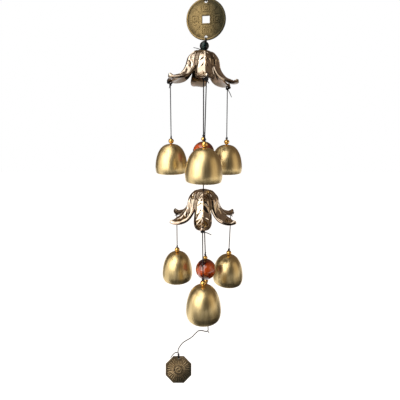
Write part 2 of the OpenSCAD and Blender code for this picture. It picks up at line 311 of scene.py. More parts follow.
def polished_gold(name):
    f = Finish(name, Metallic=1.0)
    place = f.place()
    patch = f.grain(place, 500, detail=4)
    fine = f.grain(place, 2600, detail=2)
    f.set(Base_Color=f.blend(patch.step(0.35, 0.7), (0.60, 0.30, 0.07), (0.98, 0.66, 0.22)),
          Roughness=0.10 + 0.14 * patch, Normal=f.bump(fine, 0.03, 0.4))
    return f


def amber_glass(name):
    """Orange glass, dark in its swirls, with painted shade round its bore's two ends."""
    f = Finish(name, IOR=1.45, Transmission_Weight=0.12, Coat_IOR=1.7, Coat_Roughness=0.03)
    place = f.place()
    swirl = f.grain(place, 95, detail=3)
    fine = f.grain(place, 900, detail=2)
    height = f.node("ShaderNodeVectorMath", {"operation": "DOT_PRODUCT"},
                    {0: f.attribute("around", out="Vector"), 1: (0, 0, 1)}, out="Value")
    # painted shade: the glass is darkened towards both ends of its bore, at its top and bottom
    painted_pole_shade = (height * height * 2.8).step(0.35, 1.0)
    # the swirls' dark is the glass's own; the poles' dark is painted shade
    swirls_and_pole_shade = (painted_pole_shade * 0.85 + swirl.step(0.42, 0.64) * 0.85).kept()
    f.set(Base_Color=f.blend(swirls_and_pole_shade, (0.52, 0.075, 0.012), (0.030, 0.003, 0.004)),
          Roughness=0.05 + 0.06 * fine, Coat_Weight=0.6 + 0.2 * fine, Normal=f.bump(swirl, 0.2, 0.3))
    return f


def black_glass(name):
    f = Finish(name, IOR=1.28, Coat_Roughness=0.02)
    place = f.place()
    depth = f.grain(place, 260, detail=2)
    f.set(Base_Color=f.blend(depth.step(0.4, 0.75), (0.002, 0.004, 0.006), (0.004, 0.030, 0.030)),
          Roughness=0.05 + 0.06 * depth, Coat_Weight=0.05 + 0.1 * depth, Normal=f.bump(depth, 0.06, 0.2))
    return f


FINISHES = {
    "cord": waxed_cord("waxed_cord"),
    "thin_cord": waxed_cord("thin_waxed_cord"),
    "coin_bronze": aged_bronze("coin_bronze", high=(0.23, 0.165, 0.072), low=(0.018, 0.015, 0.008),
                               metallic=0.9),
    "black_glass": black_glass("black_glass"),
    "canopy_metal": canopy_plate("canopy_plate"),
    "bell_brass": satin_brass("bell_brass", tint=(0.92, 0.75, 0.42), dark=(0.48, 0.35, 0.14), rough=0.30),
    "bead_gold": polished_gold("bead_gold"),
    "amber_glass": amber_glass("amber_glass"),
    "clapper_brass": satin_brass("clapper_brass", tint=(0.70, 0.50, 0.24), dark=(0.34, 0.21, 0.08),
                                 rough=0.34),
    "plate_bronze": aged_bronze("plate_bronze", high=(0.68, 0.50, 0.28), low=(0.05, 0.034, 0.017),
                                metallic=0.45),
}


# ---- stock: the points and faces of one piece while it is made ----

class Stock:
    def __init__(self):
        self.points = []
        self.faces = []
        self.layers = {}

    def add(self, points, faces, place=None, **layers):
        """Adds a closed shape, moved by the matrix place. layers are values at its points."""
        start = len(self.points)
        moved = [Vector(p) if place is None else place @ Vector(p) for p in points]
        self.points += moved
        self.faces += [[start + i for i in face] for face in faces]
        for name, values in layers.items():
            self.layers.setdefault(name, {}).update((start + i, v) for i, v in enumerate(values))
        return self

    def mesh(self, name):
        mesh = bpy.data.meshes.new(name)
        mesh.from_pydata([p * MM for p in self.points], [], self.faces)
        for layer, values in self.layers.items():
            first = next(iter(values.values()))
            vector = hasattr(first, "__len__")
            made = mesh.attributes.new(layer, "FLOAT_VECTOR" if vector else "FLOAT", "POINT")
            rest = (0.0, 0.0, 0.0) if vector else 0.0
            flat = np.array([values.get(i, rest) for i in range(len(self.points))], np.float32)
            made.data.foreach_set("vector" if vector else "value", flat.ravel())
        return mesh

    def piece(self, name, body, slot, stands_for=(), sharp=50):
        return fitted(linked(name, self.mesh(name)), body, slot, stands_for, sharp)

    def soft_piece(self, name, body, slot, stands_for=()):
        """A piece of cord: smooth all over, and crisp only at its cut ends."""
        return self.piece(name, body, slot, stands_for, sharp=80)


def fitted(obj, body, slot, stands_for=(), sharp=50):
    """Closes a finished mesh's doubles, turns its faces outwards, and puts it on its body."""
    bm = bmesh.new()
    bm.from_mesh(obj.data)
    bmesh.ops.remove_doubles(bm, verts=bm.verts, dist=0.002 * MM)
    bmesh.ops.dissolve_degenerate(bm, edges=bm.edges, dist=0.0005 * MM)
    bmesh.ops.recalc_face_normals(bm, faces=bm.faces)
    bm.to_mesh(obj.data)
    bm.free()
    obj.data.shade_smooth()
    obj.data.set_sharp_from_angle(angle=math.radians(sharp))
    obj.data.materials.clear()
    obj.data.materials.append(FINISHES[slot].material)
    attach(obj, body)
    if stands_for:
        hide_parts(*stands_for)
    return obj


def net(rows, columns, rows_close=False, columns_close=True):
    """Four-sided faces between rows of points. Either way, the last may join on to the first."""
    faces = []
    for i in range(rows if rows_close else rows - 1):
        n = (i + 1) % rows
        for j in range(columns if columns_close else columns - 1):
            k = (j + 1) % columns
            faces.append([i * columns + j, i * columns + k, n * columns + k, n * columns + j])
    return faces


# ---- cords: three strands laid together, swept along a route ----

# the step between a cord's rings, and what its wax and loose fibres add to its radius
STEP = 0.45
WAX_T = 0.11


def curved(controls, step):
    """Points about one step apart on a smooth curve through the controls."""
    controls = [Vector(p) for p in controls]
    ends = [2 * controls[0] - controls[1], *controls, 2 * controls[-1] - controls[-2]]
    dense = []
    for a, b, c, d in zip(ends, ends[1:], ends[2:], ends[3:]):
        parts = max(2, math.ceil((c - b).length / step * 3))
        for k in range(parts):
            t = k / parts
            dense.append(0.5 * (2 * b + (c - a) * t + (2 * a - 5 * b + 4 * c - d) * t ** 2
                                + (3 * b - a - 3 * c + d) * t ** 3))
    dense.append(controls[-1])
    return evenly(dense, step)


def evenly(points, step):
    run = np.concatenate([[0], np.cumsum([(b - a).length for a, b in zip(points, points[1:])])])
    count = max(2, round(run[-1] / step) + 1)
    at = np.linspace(0, run[-1], count)
    flat = np.array([list(p) for p in points])
    return [Vector(p) for p in np.stack([np.interp(at, run, flat[:, k]) for k in range(3)], axis=1)]


def run_length(points):
    return sum((b - a).length for a, b in zip(points, points[1:]))


def laid(route, diameter, closed=False, sides=12, taper=0.0):
    """Three strands laid round each other along a route, as points and faces."""
    count = len(route)
    lay = 3.6 * diameter
    along = []
    for i in range(count):
        before = route[(i - 1) % count] if closed or i else route[0]
        after = route[(i + 1) % count] if closed or i < count - 1 else route[-1]
        along.append((after - before).normalized())
    side = along[0].orthogonal().normalized()
    points = []
    run = 0.0
    for i in range(count):
        side = (side - along[i] * side.dot(along[i])).normalized()
        other = along[i].cross(side)
        if i:
            run += (route[i] - route[i - 1]).length
        twist = 2 * math.pi * run / lay
        thin = 1 - taper * i / (count - 1)
        for j in range(sides):
            angle = 2 * math.pi * j / sides
            lobe = abs(math.cos(1.5 * (angle - twist)))
            radius = thin * (diameter / 2 * (0.95 + 0.2 * lobe) + WAX_T)
            points.append(route[i] + radius * (math.cos(angle) * side + math.sin(angle) * other))
    faces = net(count, sides, rows_close=closed)
    if not closed:
        faces.append(list(range(sides)))
        faces.append(list(reversed(range((count - 1) * sides, count * sides))))
    return points, faces


def cord_piece(name, body, slot, controls, diameter, straight=False):
    """A cord's piece and its route."""
    controls = [Vector(p) for p in controls]
    route = evenly(controls, STEP) if straight else curved(controls, STEP)
    piece = Stock().add(*laid(route, diameter)).soft_piece(name, body, slot, [name])
    return piece, route


def declare(route):
    path = [p * MM for p in route[::3]]
    if (route[-1] * MM - path[-1]).length > 1e-6:
        path.append(route[-1] * MM)
    run_length(route) * MM


# how far a knot's curve spreads at a reach of 1, a little under its greatest
KNOT_SPREAD = 2.75


def tied(centre, size, diameter, turn, tip=math.pi / 2):
    """An overhand knot about a centre, pulled tight to about a size each way."""
    reach = (size - diameter / 2) / KNOT_SPREAD
    place = Matrix.Translation(centre) @ Matrix.Rotation(turn, 4, "Z") @ Matrix.Rotation(tip, 4, "X")
    route = []
    parts = 48
    for k in range(parts):
        t = 2 * math.pi * k / parts
        route.append(place @ (reach * Vector((math.sin(t) + 2 * math.sin(2 * t),
                                              math.cos(t) - 2 * math.cos(2 * t),
                                              -1.5 * math.sin(3 * t)))))
    return laid(route, diameter, closed=True, sides=8)


def tail_end(start, reach, diameter, sag=0.2):
    """A short cut end that leaves a knot."""
    start, reach = Vector(start), Vector(reach)
    bend = Vector((0, 0, reach.length * sag))
    return laid(curved([start, start + reach * 0.5 + bend, start + reach], 0.4), diameter, taper=0.25)


def lap(hole, out, up, seat, gap, top, pinch):
    """A tie through a hole, from its knot down in front of the piece and up again behind it."""
    front = [(0, seat), (0.6 * gap, seat), (0.92 * gap, seat + 0.45), (gap, seat + 1.4),
             (gap, seat + 2.6), (0.8 * gap, top - 0.9), (pinch, top)]
    return ([hole + a * out + b * up for a, b in reversed(front[1:])]
            + [hole - a * out + b * up for a, b in front])


def loop_side(side):
    """Half of the hanging loop, from its knot to its top."""
    shape = [(0.6, 0.04), (1.3, 0.09), (2.8, 0.18), (4.5, 0.29), (5.9, 0.4), (6.8, 0.52),
             (7, 0.64), (6.5, 0.76), (5.3, 0.87), (3.5, 0.95), (1.8, 0.99)]
    route = []
    for x, share in shape:
        z = -LOOP_DROP + share * (LOOP_DROP + CORD_D / 2)
        route.append(Vector((COIN_X * z / -LOOP_DROP + side * x, 0, z)))
    return route


def hanging_cords():
    route = loop_side(-1) + [Vector((0, 0, CORD_D / 2))] + list(reversed(loop_side(1)))
    loop, way = cord_piece("hang_loop", "hanger", "cord", route, CORD_D)
    knot_at = Vector((COIN_X, 0, -LOOP_DROP))
    knot = Stock().add(*tied(knot_at, size=1.9, diameter=CORD_D, turn=0.4))
    knot.add(*tail_end(knot_at, (-5, -1, -1.2), CORD_D))
    knot = knot.soft_piece("hang_knot", "hanger", "cord", ["hang_knot"])
    declare(way)
    top_hole = Vector((COIN_X, 0, COIN_TOP_HOLE_Z))
    tie = lap(top_hole, COIN_OUT, Vector((0, 0, 1)), seat=0.8, gap=2.05, top=5.6, pinch=0.6)
    cord_piece("coin_tie", "hanger", "cord", tie, CORD_D)


def link_cords():
    low = COIN_LOW_HOLE_Z
    top = TIERS["upper"]["top"]
    spots = [(COIN_X, low - 0.8, 0), (COIN_X, low - 0.8, 1.23), (COIN_X, low - 1.25, 1.9),
             (COIN_X, low - 2.2, 2.1), (COIN_X, low - 4, 2.1), (1.9, low - 4.7, 1.4),
             (1.5, BLACK_BEAD.z + 4.5, 0.6), (0, top - 0.1, 0.6), (0, top + CANOPY_KNOT_Z, 0.6)]
    front = [Vector((x, 0, z)) + out * COIN_OUT for x, z, out in reversed(spots[1:])]
    back = [Vector((x, 0, z)) - out * COIN_OUT for x, z, out in spots]
    link, way = cord_piece("link_cord", "link", "cord", front + back, CORD_D)
    knot = canopy_knot("upper", "link")
    declare(way)
    spur = BLACK_BEAD + Vector((-1.6, -0.3, -4.4))
    Stock().add(*tail_end(spur, (-10, -0.5, 2.6), 0.6, sag=0.02)).piece("link_cord_end", "link", "cord")


def canopy_knot(tier, body):
    at = Vector((0, 0, TIERS[tier]["top"] + CANOPY_KNOT_Z))
    name = tier + "_canopy_knot"
    return Stock().add(*tied(at, size=2.6, diameter=CORD_D, turn=0.9)).soft_piece(name, body, "cord", [name])


# ---- places of the canopies, bells and strikers ----

def canopy_place(tier):
    t = TIERS[tier]
    return (Matrix.Translation((0, 0, t["top"])) @ Matrix.Rotation(math.radians(t["roll"]), 4, "Y")
            @ Matrix.Rotation(math.radians(t["turn"]), 4, "Z"))


def petal_place(tier, side):
    """The petal that carries a bell, drawn towards the front."""
    return canopy_place(tier) @ Matrix.Rotation(math.radians(TIERS[tier]["bells"][side][0]), 4, "Z")


def petal_knot_at(tier, side):
    return petal_place(tier, side) @ Vector((0, -PETAL_KNOT_AT, PETAL_KNOT_Z))


def bell_place(tier, side):
    """A bell's crown is at zero and its cord goes up."""
    drop, slant = TIERS[tier]["bells"][side][1:]
    return (Matrix.Translation(petal_knot_at(tier, side)) @ Matrix.Rotation(math.radians(slant), 4, "Y")
            @ Matrix.Translation((0, 0, -drop)))


LOWER_KNOT = Vector((0, 0, TIERS["lower"]["top"] + CANOPY_KNOT_Z))
LOWER_TILT = math.atan2(LOWER_AMBER.x, LOWER_KNOT.z - LOWER_AMBER.z)


def striker_place(tier):
    """The striker's glass bead is at zero, on its own cord."""
    if tier == "upper":
        return Matrix.Translation((0, 0, UPPER_AMBER_Z))
    return Matrix.Translation(LOWER_AMBER) @ Matrix.Rotation(-LOWER_TILT, 4, "Y")


# ---- turned pieces ----

# the room round the cord in a bead's bore and in a bell's crown
BEAD_ROOM = 0.25
CROWN_ROOM = 0.2


def turned_piece(name, body, slot, place, profile, segments, loop=True, sharp=50):
    """A piece turned from a profile of (radius, height) points, with its layer for streaks."""
    points = []
    around = []
    for radius, height in profile:
        for k in range(segments):
            angle = 2 * math.pi * k / segments
            points.append(Vector((radius * math.cos(angle), radius * math.sin(angle), height)))
            around.append((math.cos(angle), math.sin(angle), height / 20))
    faces = net(len(profile), segments, rows_close=loop)
    return Stock().add(points, faces, place, around=around).piece(name, body, slot, [name], sharp)


def arc(radius, start, end, steps, centre=(0.0, 0.0)):
    """Points on an arc, in degrees from the top of the profile."""
    spots = []
    for k in range(steps + 1):
        a = math.radians(start + (end - start) * k / steps)
        spots.append((centre[0] + radius * math.sin(a), centre[1] + radius * math.cos(a)))
    return spots


def bead_profile(radius, bore):
    """A bead with a small round-over where its bore comes out."""
    open_at = math.degrees(math.asin(min(0.9, (bore * 1.5) / radius)))
    outside = arc(radius, open_at, 180 - open_at, 40)
    lip = radius * math.cos(math.radians(open_at)) - 0.25 * bore
    return [*outside, (bore * 1.12, -lip), (bore, -lip + 0.3 * bore),
            (bore, lip - 0.3 * bore), (bore * 1.12, lip)]


def bead(name, body, slot, place, radius, bore, segments=48):
    return turned_piece(name, body, slot, place, bead_profile(radius, bore), segments)


def bell_side(radius, height, start, steps):
    """A full dome, from near its crown to its mouth, where it draws in a little."""
    spots = []
    for k in range(steps + 1):
        a = start + (math.pi / 2 - start) * k / steps
        z = -height * (1 - max(0.0, math.cos(a)) ** (2 / BELL_POWER))
        tuck = max(0.0, 1 - (height + z) / MOUTH_TUCK_H)
        spots.append((radius * math.sin(a) ** (2 / BELL_POWER) - MOUTH_TUCK * tuck ** 2, z))
    return spots


def bell_profile():
    bore = THIN_D / 2 + CROWN_ROOM
    start = math.asin((bore * 1.6 / BELL_R) ** (BELL_POWER / 2))
    outside = bell_side(BELL_R, BELL_H, start, 40)
    inside = bell_side(BELL_R - BELL_WALL, BELL_H - CROWN_T, start, 28)
    inside = [(r, z - CROWN_T) for r, z in inside]
    lip_r = BELL_WALL / 2
    lip = arc(lip_r, 95, 270, 8, centre=(BELL_R - MOUTH_TUCK * 0.9 - lip_r, -BELL_H + lip_r))
    outside = [p for p in outside if p[1] > -BELL_H + lip_r + 0.3]
    inside = [p for p in inside if p[1] > -BELL_H + lip_r + 0.3]
    return [*outside, *lip, *reversed(inside), (bore, -CROWN_T + 0.3), (bore, -0.35), (bore * 1.25, -0.06)]


def add_bell(tier, side):
    name = f"{tier}_{side}"
    body = name + "_bell"
    place = bell_place(tier, side)
    turned_piece(body, body, "bell_brass", place, bell_profile(), segments=112, sharp=40)
    bead_at = place @ Matrix.Translation((0, 0, BELL_BEAD_R + AIR))
    crown_bead = bead(name + "_bead", body, "bead_gold", bead_at, BELL_BEAD_R, THIN_D / 2 + BEAD_ROOM)
    drop = TIERS[tier]["bells"][side][1]
    top = place @ Vector((0, 0, drop - SMALL_KNOT_R - AIR))
    inner_knot = place @ Vector((0, 0, INNER_KNOT_Z))
    over_bead = place @ Vector((0, 0, 2 * BELL_BEAD_R + 1.05))
    knots = Stock().add(*tied(inner_knot, size=1.7, diameter=THIN_D, turn=0.5))
    knots.add(*tied(over_bead, size=1.35, diameter=0.62, turn=1.2 * len(side)))
    knots.add(*tail_end(over_bead, (0.9, -0.8, 1.6), 0.5))
    knots = knots.soft_piece(name + "_small_knots", body, "thin_cord")
    cord, way = cord_piece(name + "_cord", body, "thin_cord", [top, inner_knot], THIN_D, straight=True)
    declare(way)


def add_clapper(tier, side):
    name = f"{tier}_{side}_clapper"
    place = bell_place(tier, side)
    ball = arc(CLAPPER_R, 9, 86, 18) + arc(CLAPPER_R - 0.12, 87, 93, 2) + arc(CLAPPER_R, 94, 180, 20)
    collar = [(0.0, CLAPPER_R + 0.9), (0.75, CLAPPER_R + 0.9), (1.0, CLAPPER_R + 0.6),
              (0.95, CLAPPER_R - 0.1)]
    at = place @ Matrix.Translation((0, 0, CLAPPER_Z))
    turned_piece(name, name, "clapper_brass", at, collar + ball, segments=48, loop=False, sharp=35)
    cord_piece(name + "_cord", name, "thin_cord",
               [place @ Vector((0, 0, INNER_KNOT_Z - SMALL_KNOT_R)),
                place @ Vector((0, 0, CLAPPER_Z + CLAPPER_R - GLUED_IN))], THIN_D, straight=True)


# ---- canopies: one leaf-shaped petal, repeated round the middle ----

# the radius of the two arcs that a petal's leaf shape is drawn with
LEAF_ARC = ((PETAL_REACH - LEAF_MID + 5) ** 2 + PETAL_W ** 2 / 4) / PETAL_W
PETALS = 6
# where half of a petal's angle is above this, the petal meets its neighbours
MEETING = math.pi / PETALS - 1e-6
# the length over which a petal's tip is rounded
TIP_L = 13


def rise(low, high, x):
    """0 below low, 1 above high, and a smooth rise between them."""
    t = np.clip((x - low) / (high - low), 0, 1)
    return t * t * (3 - 2 * t)


def hump(x, width):
    """1 where x is 0, and falling away within a width or two on both sides."""
    return np.exp(-(x / width) ** 2)


def half_angle(radius):
    """Half of a petal's angle at a radius: up to its neighbour, then down to its round tip."""
    c = LEAF_ARC - PETAL_W / 2
    lean = math.atan2(LEAF_MID, c)
    share = (LEAF_ARC ** 2 - radius ** 2 - c ** 2 - LEAF_MID ** 2) / (2 * radius) / math.hypot(c, LEAF_MID)
    leaf = lean + math.asin(max(-1.0, min(1.0, share)))
    tip = max(0.0, (radius - (PETAL_REACH - TIP_L)) / TIP_L)
    return min(math.pi / PETALS, leaf) * math.sqrt(1 - 0.985 * tip ** 2.2)


def canopy_profile():
    """The middle of a petal's upper side, from the middle hole to the tip: (radius, height)."""
    dome = [Vector((DOME_R * math.sin(math.radians(a)), 0, -DOME_DEPTH * (1 - math.cos(math.radians(a)))))
            for a in (6, 15, 30, 45, 60, 75, 88)]
    flare = [Vector(p) for p in ((DOME_R + 1.2, 0, -18), (DOME_R + 4.3, 0, -23.5),
                                 (DOME_R + 9, 0, -PETAL_DROP + 3.7), (DOME_R + 15, 0, -PETAL_DROP + 1),
                                 (DOME_R + 21, 0, -PETAL_DROP), (PETAL_REACH, 0, -PETAL_DROP + 0.5))]
    return curved(dome + flare, 0.5)


def petal_relief(x, r, q, angle, limit, hole):
    """How far each point of a petal stands proud of its plain sheet."""
    across = np.abs(x)
    width = r * np.sin(limit)
    free = limit < MEETING
    edge = (limit - np.abs(angle)) * r
    top, full = 8.5, 18.0
    arch = np.sqrt(np.clip(1 - ((full - q) / (full - top)) ** 2, 0, 1))
    panel_w = (width - 1.9) * np.where(q < top, 0, np.where(q < full, arch, 1))
    inside = panel_w - across
    lifted = rise(top - 0.5, top + 1.5, q)
    panel = rise(-0.3, 0.8, inside) * lifted
    body = 0.55 * panel - 0.45 * hump(inside + 0.75, 0.55) * lifted
    roof = 0.9 * (1 - np.clip(across / np.maximum(width, 1), 0, 1)) * rise(16, 26, q)
    rib = 0.55 * hump(x, 0.6) * rise(top + 1, top + 4, q) * (1 - rise(48, 52, q))
    pitch = 7.6
    phase = (q - 0.8 * across - 13.5) / pitch
    apart = pitch * np.abs(phase - np.round(phase))
    reach = rise(0.5, 1.4, across) * (1 - rise(-2.6, -0.6, -inside))
    veins = (-0.42 * hump(apart, 0.65) + 0.22 * rise(0.8, 3.2, apart)) * reach * panel
    rim = np.where(free, 0.55 * hump(edge - 0.9, 0.6) - 0.55 * (1 - rise(0, 0.7, edge)), 0)
    seam = np.where(free, 0, -0.35 * hump(edge, 0.8) * rise(6, 12, r))
    nub = 1.15 * np.exp(-((r - 39.7) ** 2 + (1.15 * x) ** 2) / 3.2)
    collar = 0.35 * hump(hole - PETAL_HOLE_R - 0.75, 0.5)
    upturn = 1.1 * rise(36, PETAL_REACH, r)
    crown = hump(r - 6, 5) * rise(1.6, 5, r)
    return body + roof + rib + veins + rim + seam + nub + collar + upturn + crown


def closed_sheet(upper, lower, faces, shared):
    """Joins an upper and a lower skin along every open edge, apart from those between shared points."""
    seen = {}
    for face in faces:
        for a, b in zip(face, face[1:] + face[:1]):
            seen[(a, b)] = True
    count = len(upper)
    walls = [[b, a, a + count, b + count] for a, b in seen
             if (b, a) not in seen and not (a in shared and b in shared)]
    under = [[i + count for i in reversed(face)] for face in faces]
    return list(upper) + list(lower), faces + under + walls


def open_round_holes(flat, faces, holes):
    """Takes the faces over each round hole away and moves the points at its edge onto its circle."""
    for centre, radius in holes:
        away = flat - np.array(centre)
        distance = np.hypot(away[:, 0], away[:, 1])
        inner = distance < radius
        cut = [f for f in faces if inner[f].any()]
        faces = [f for f in faces if not inner[f].any()]
        edge = sorted({i for f in cut for i in f if not inner[i]})
        flat[edge] = np.array(centre) + away[edge] * (radius / distance[edge])[:, None]
    return faces


def used_only(points, faces, *layers):
    """Drops the points that no face uses."""
    used = sorted({i for f in faces for i in f})
    new = {old: k for k, old in enumerate(used)}
    return ([points[i] for i in used], [[new[i] for i in f] for f in faces],
            *[[layer[i] for i in used] for layer in layers])


def sheet_faces(rows, columns, columns_close=False):
    """The faces of a sheet of points, wound the other way round from a cord's."""
    return [[a, d, c, b] for a, b, c, d in net(rows, columns, columns_close=columns_close)]


def crowded(count, how):
    """Places from -1 to 1 that stand closer together towards both ends."""
    return np.sin(np.linspace(-1, 1, count) * math.pi / 2 * how) / math.sin(math.pi / 2 * how)


# painted shade on a petal's underside: its value in the wear layer, where the upper side's wear goes from 0
# to 1, which keeps the underside at the dark tint
UNDERSIDE_SHADE = -0.2


def one_petal():
    """One petal, pointing to the front: its points, faces, and its wear with painted shade on the underside.
    """
    profile = canopy_profile()
    radii = np.array([p.x for p in profile])
    heights = np.array([p.z for p in profile])
    run = np.concatenate([[0], np.cumsum(np.hypot(np.diff(radii), np.diff(heights)))]) + radii[0]
    keep = radii >= CANOPY_HOLE_R
    radii, heights, run = radii[keep], heights[keep], run[keep]
    slope_r, slope_z = np.gradient(radii), np.gradient(heights)
    size = np.hypot(slope_r, slope_z)
    lean_r, lean_z = -slope_z / size, slope_r / size
    limit = np.array([half_angle(r) for r in radii])
    columns = 37
    angle = limit[:, None] * crowded(columns, 0.86)[None, :]
    radius = np.repeat(radii[:, None], columns, axis=1)
    flat = np.stack([radius * np.sin(angle), -radius * np.cos(angle)], axis=2).reshape(-1, 2)
    knot_hole = ((0, -PETAL_HOLE_AT), PETAL_HOLE_R)
    faces = open_round_holes(flat, sheet_faces(len(radii), columns), [knot_hole])
    r = np.hypot(flat[:, 0], flat[:, 1])
    a = np.arctan2(flat[:, 0], -flat[:, 1])
    q = np.interp(r, radii, run)
    z = np.interp(r, radii, heights)
    out_r, out_z = np.interp(r, radii, lean_r), np.interp(r, radii, lean_z)
    most = np.interp(r, radii, limit)
    hole = np.hypot(flat[:, 0], flat[:, 1] + PETAL_HOLE_AT)
    proud = petal_relief(flat[:, 0], r, q, a, most, hole)
    cast = np.array([noise.noise(Vector((x * 0.16, y * 0.16, 3.1))) for x, y in flat])
    cast *= rise(4, 10, r) * rise(0, 3, (most - np.abs(a)) * r)
    proud = proud + 0.28 * cast
    fall = 0.5 * (1 - np.clip(np.abs(flat[:, 0]) / np.maximum(r * np.sin(most), 1), 0, 1)) * rise(16, 26, q)

    def skin(offset):
        ring = r + out_r * offset
        return [Vector((ring[i] * math.sin(a[i]), -ring[i] * math.cos(a[i]), z[i] + out_z[i] * offset[i]))
                for i in range(len(r))]

    upper = skin(proud)
    lower = skin(fall - CANOPY_WALL + 0.9 * rise(36, PETAL_REACH, r))
    shared = {i * columns + j for i in range(len(radii)) for j in (0, columns - 1) if limit[i] > MEETING}
    points, made = closed_sheet(upper, lower, faces, shared)
    # the upper side's wear follows its relief; the underside gets painted shade
    wear = list(rise(-0.5, 1.3, proud)) + [UNDERSIDE_SHADE] * len(lower)
    return used_only(points, made, wear)


class Grower:
    """A Geometry Nodes tree that is built here and run once, leaving a plain mesh."""

    def __init__(self, name, **inputs):
        self.tree = bpy.data.node_groups.new(name, "GeometryNodeTree")
        face = self.tree.interface
        face.new_socket("Geometry", in_out="INPUT", socket_type="NodeSocketGeometry")
        for label, (kind, value) in inputs.items():
            socket = face.new_socket(label, in_out="INPUT", socket_type=kind)
            if value is not None:
                socket.default_value = value
        face.new_socket("Geometry", in_out="OUTPUT", socket_type="NodeSocketGeometry")
        self.start = self.tree.nodes.new("NodeGroupInput")
        self.end = self.tree.nodes.new("NodeGroupOutput")

    def given(self, label):
        return self.start.outputs[label]

    def node(self, kind, inputs=(), **settings):
        node = self.tree.nodes.new(kind)
        for name, value in settings.items():
            setattr(node, name, value)
        for key, value in dict(inputs).items():
            if isinstance(value, bpy.types.NodeSocket):
                self.tree.links.new(value, node.inputs[key])
            else:
                node.inputs[key].default_value = value
        return node.outputs[0]

    def result(self, geometry):
        realized = self.node("GeometryNodeRealizeInstances", {"Geometry": geometry})
        finished = self.node("GeometryNodeSetMaterial",
                             {"Geometry": realized, "Material": self.given("Finish")})
        self.tree.links.new(finished, self.end.inputs[0])

    def grow(self, name, mesh, place, slot, **values):
        """A new object, which is the tree's result on the given mesh, moved to its place."""
        values["Finish"] = FINISHES[slot].material
        obj = linked(name, mesh)
        modifier = obj.modifiers.new(name, "NODES")
        modifier.node_group = self.tree
        for item in self.tree.interface.items_tree:
            if item.in_out == "INPUT" and item.name in values:
                modifier[item.identifier] = values[item.name]
        seen = obj.evaluated_get(bpy.context.evaluated_depsgraph_get())
        made = bpy.data.meshes.new_from_object(seen)
        obj.modifiers.remove(modifier)
        obj.data = made
        place = place.copy()
        place.translation *= MM
        obj.data.transform(place)
        return obj


def copies_round(grower, geometry):
    """Copies of a geometry, turned about Z, one after another to a full turn."""
    count = grower.given("Copies")
    spots = grower.node("GeometryNodePoints", {"Count": count})
    index = grower.node("GeometryNodeInputIndex")
    share = grower.node("ShaderNodeMath", {0: 2 * math.pi, 1: count}, operation="DIVIDE")
    turn = grower.node("ShaderNodeMath", {0: index, 1: share}, operation="MULTIPLY")
    turned_by = grower.node("ShaderNodeCombineXYZ", {"Z": turn})
    return grower.node("GeometryNodeInstanceOnPoints",
                       {"Points": spots, "Instance": geometry, "Rotation": turned_by})


def petal_ring():
    """One petal repeated to a full ring, welded where two petals meet."""
    grower = Grower("petal_ring", Copies=("NodeSocketInt", 6), Weld=("NodeSocketFloat", 0.00001),
                    Finish=("NodeSocketMaterial", None))
    ring = copies_round(grower, grower.given("Geometry"))
    whole = grower.node("GeometryNodeRealizeInstances", {"Geometry": ring})
    welded = grower.node("GeometryNodeMergeByDistance",
                         {"Geometry": whole, "Distance": grower.given("Weld")})
    grower.result(welded)
    return grower


def raised_lines():
    """Round ridges along drawn lines, repeated round the middle."""
    grower = Grower("raised_lines", Copies=("NodeSocketInt", 1), Ridge=("NodeSocketFloat", 0.0004),
                    Finish=("NodeSocketMaterial", None))
    line = grower.node("GeometryNodeMeshToCurve", {"Mesh": grower.given("Geometry")})
    section = grower.node("GeometryNodeCurvePrimitiveCircle",
                          {"Resolution": 10, "Radius": grower.given("Ridge")})
    ridge = grower.node("GeometryNodeCurveToMesh",
                        {"Curve": line, "Profile Curve": section, "Fill Caps": True})
    grower.result(copies_round(grower, ridge))
    return grower


PETAL_RING = petal_ring()
RAISED_LINES = raised_lines()


def add_canopy(tier, body, petal):
    points, faces, wear = petal
    # the layer holds the petals' wear, and painted shade on their undersides
    mesh = Stock().add(points, faces, worn=wear).mesh(tier + "_petal")
    obj = PETAL_RING.grow(tier + "_canopy", mesh, canopy_place(tier), "canopy_metal",
                          Copies=PETALS, Weld=0.004 * MM)
    fitted(obj, body, "canopy_metal", [tier + "_canopy"], sharp=48)


# how far the cut end that leaves each petal's knot reaches
CUT_ENDS = {("upper", "front"): (2.5, -1.5, -3.5), ("upper", "left"): (-1.5, 1, -4.5),
            ("upper", "right"): (5, -1, -9.5), ("lower", "front"): (9.3, -0.5, -3.0),
            ("lower", "left"): (-2.4, -1, -2.6), ("lower", "right"): (2.2, 1.0, -3.0)}


def add_petal_knots(tier, body):
    """The ties through three petals' holes, with a knot below and one at the petal's tip."""
    tie = [(PETAL_KNOT_AT - 0.9, PETAL_KNOT_Z + 0.3), (PETAL_HOLE_AT + 0.1, -PETAL_DROP - 2.2),
           (PETAL_HOLE_AT - 0.1, -PETAL_DROP - 0.6), (PETAL_HOLE_AT + 0.2, -PETAL_DROP + 0.9),
           (PETAL_HOLE_AT + 1.6, -PETAL_DROP + 1.6), (PETAL_HOLE_AT + 3.6, -PETAL_DROP + 3.1),
           (PETAL_REACH - 0.2, -PETAL_DROP + 2.4), (PETAL_REACH + 0.6, -PETAL_DROP + 0.6),
           (PETAL_REACH, -PETAL_DROP - 1.2), (PETAL_KNOT_AT + 0.9, PETAL_KNOT_Z + 0.3)]
    stock = Stock()
    for side in TIERS[tier]["bells"]:
        place = petal_place(tier, side)
        knot = petal_knot_at(tier, side)
        loop = curved([place @ Vector((0.15 * k, -out, z)) for k, (out, z) in enumerate(tie, -4)], 0.4)
        stock.add(*laid(loop, THIN_D))
        stock.add(*tied(knot, size=1.9, diameter=THIN_D, turn=0.7 + len(side)))
        at_tip = place @ Vector((0, -PETAL_REACH + 0.6, -PETAL_DROP - 1.5))
        stock.add(*tied(at_tip, size=1.9, diameter=THIN_D, turn=len(side), tip=0.0))
        stock.add(*tail_end(knot, CUT_ENDS[tier, side], 0.7, sag=0.08))
    name = tier + "_petal_knots"
    stock.soft_piece(name, body, "thin_cord", [name])


# ---- strikers ----

